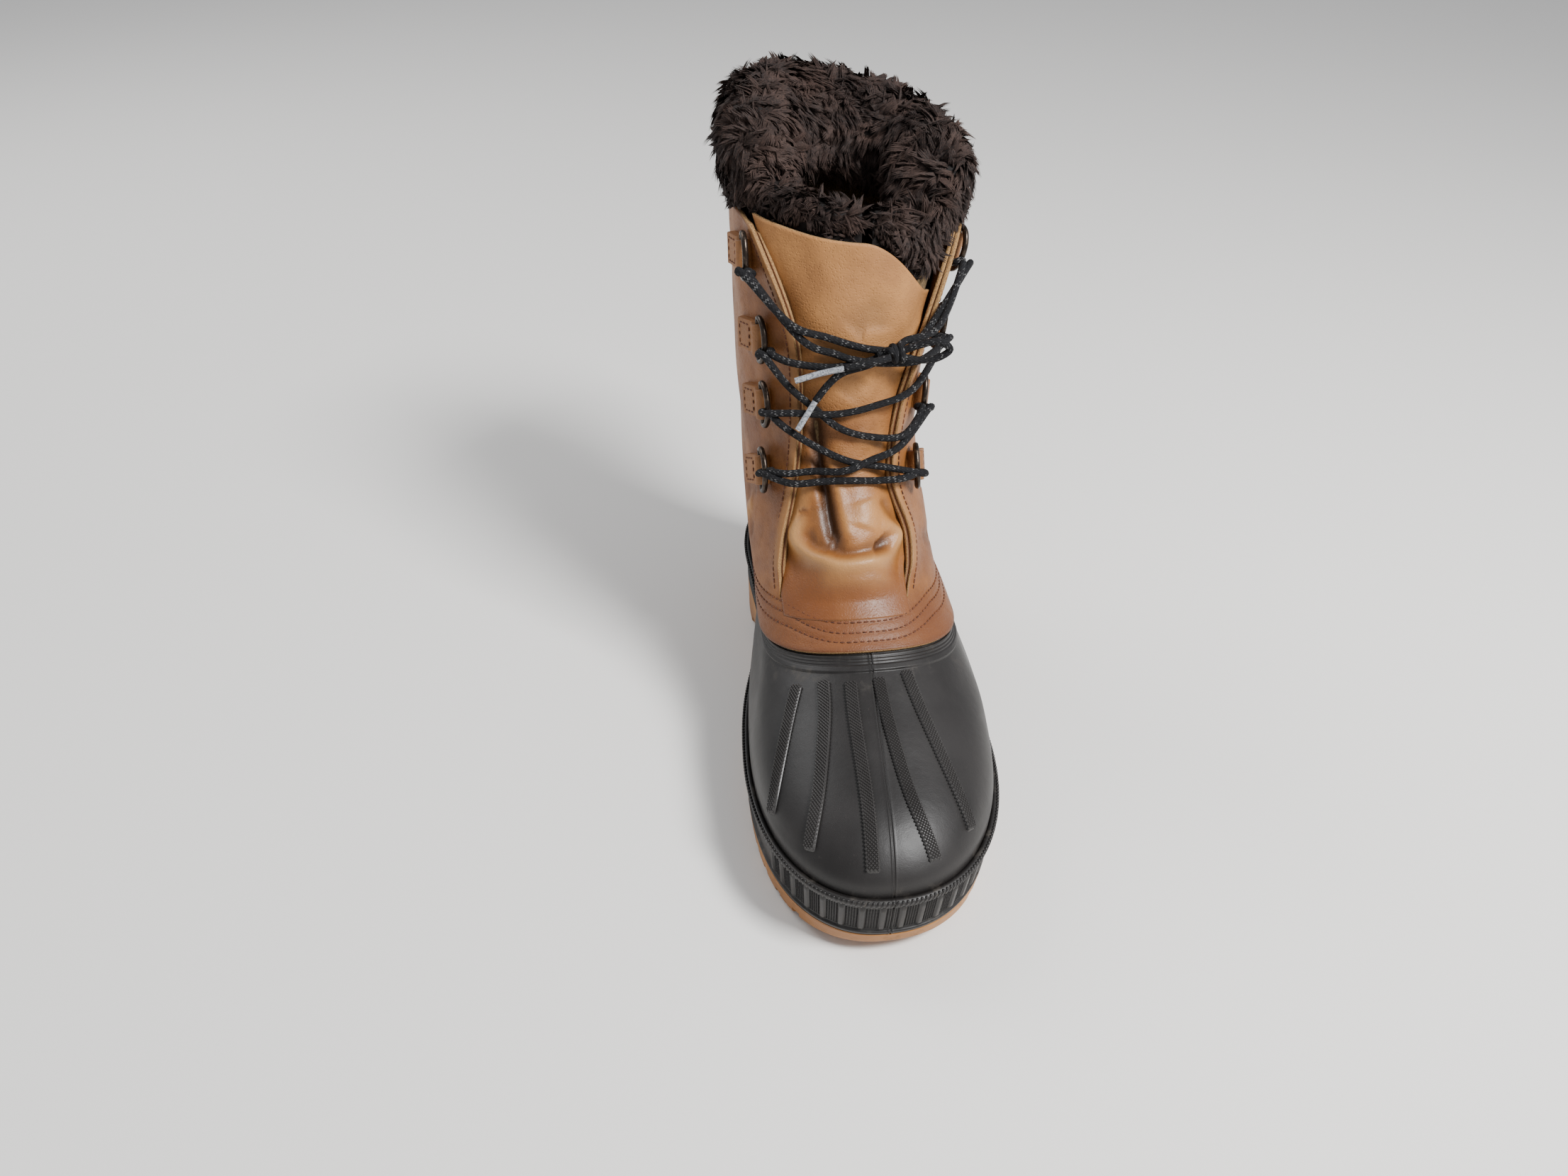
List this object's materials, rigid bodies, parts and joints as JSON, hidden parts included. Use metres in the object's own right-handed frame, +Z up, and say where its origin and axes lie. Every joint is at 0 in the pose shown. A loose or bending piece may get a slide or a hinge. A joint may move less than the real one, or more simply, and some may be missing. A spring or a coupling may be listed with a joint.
{
  "type": "pac boot",
  "caption": "Left winter pac boot with a rubber shell, tall laced leather shaft, D-rings, felt liner and a rolled pile cuff.",
  "frame": {"origin": "on the floor, under the middle of the heel, on the flat underside of the heel", "axes": "+Z up, -Y towards the toe, -X towards the inner (medial) side of this left boot"},
  "size_m": [0.131, 0.3359, 0.3056],
  "materials": {
    "outsole": "satin gum rubber",
    "shell": "satin black rubber",
    "leather": "waxed tan leather",
    "felt": "matte wool felt",
    "pile": "deep dark-brown pile",
    "hardware": "dark bronzed metal",
    "lace": "braided, charcoal with light flecks",
    "aglet": "silver-grey film"
  },
  "bodies": {
    "root": {"outsole": "outsole", "rubber_shell": "shell", "foxing_band": "shell", "leather_upper": "leather", "tongue": "leather", "felt_liner": "felt", "insole": "felt", "pile_cuff": "pile", "lace": "lace", "lace_knot": "lace", "lace_loop": "lace", "lace_end_upper": "lace", "aglet_upper": "aglet", "lace_end_lower": "lace", "aglet_lower": "aglet", "d_ring_inner_1": "hardware", "ring_tab_inner_1": "leather", "d_ring_inner_2": "hardware", "ring_tab_inner_2": "leather", "d_ring_inner_3": "hardware", "ring_tab_inner_3": "leather", "d_ring_inner_4": "hardware", "ring_tab_inner_4": "leather", "d_ring_outer_1": "hardware", "ring_tab_outer_1": "leather", "d_ring_outer_2": "hardware", "ring_tab_outer_2": "leather", "d_ring_outer_3": "hardware", "ring_tab_outer_3": "leather", "d_ring_outer_4": "hardware", "ring_tab_outer_4": "leather"}
  },
  "joints": []
}
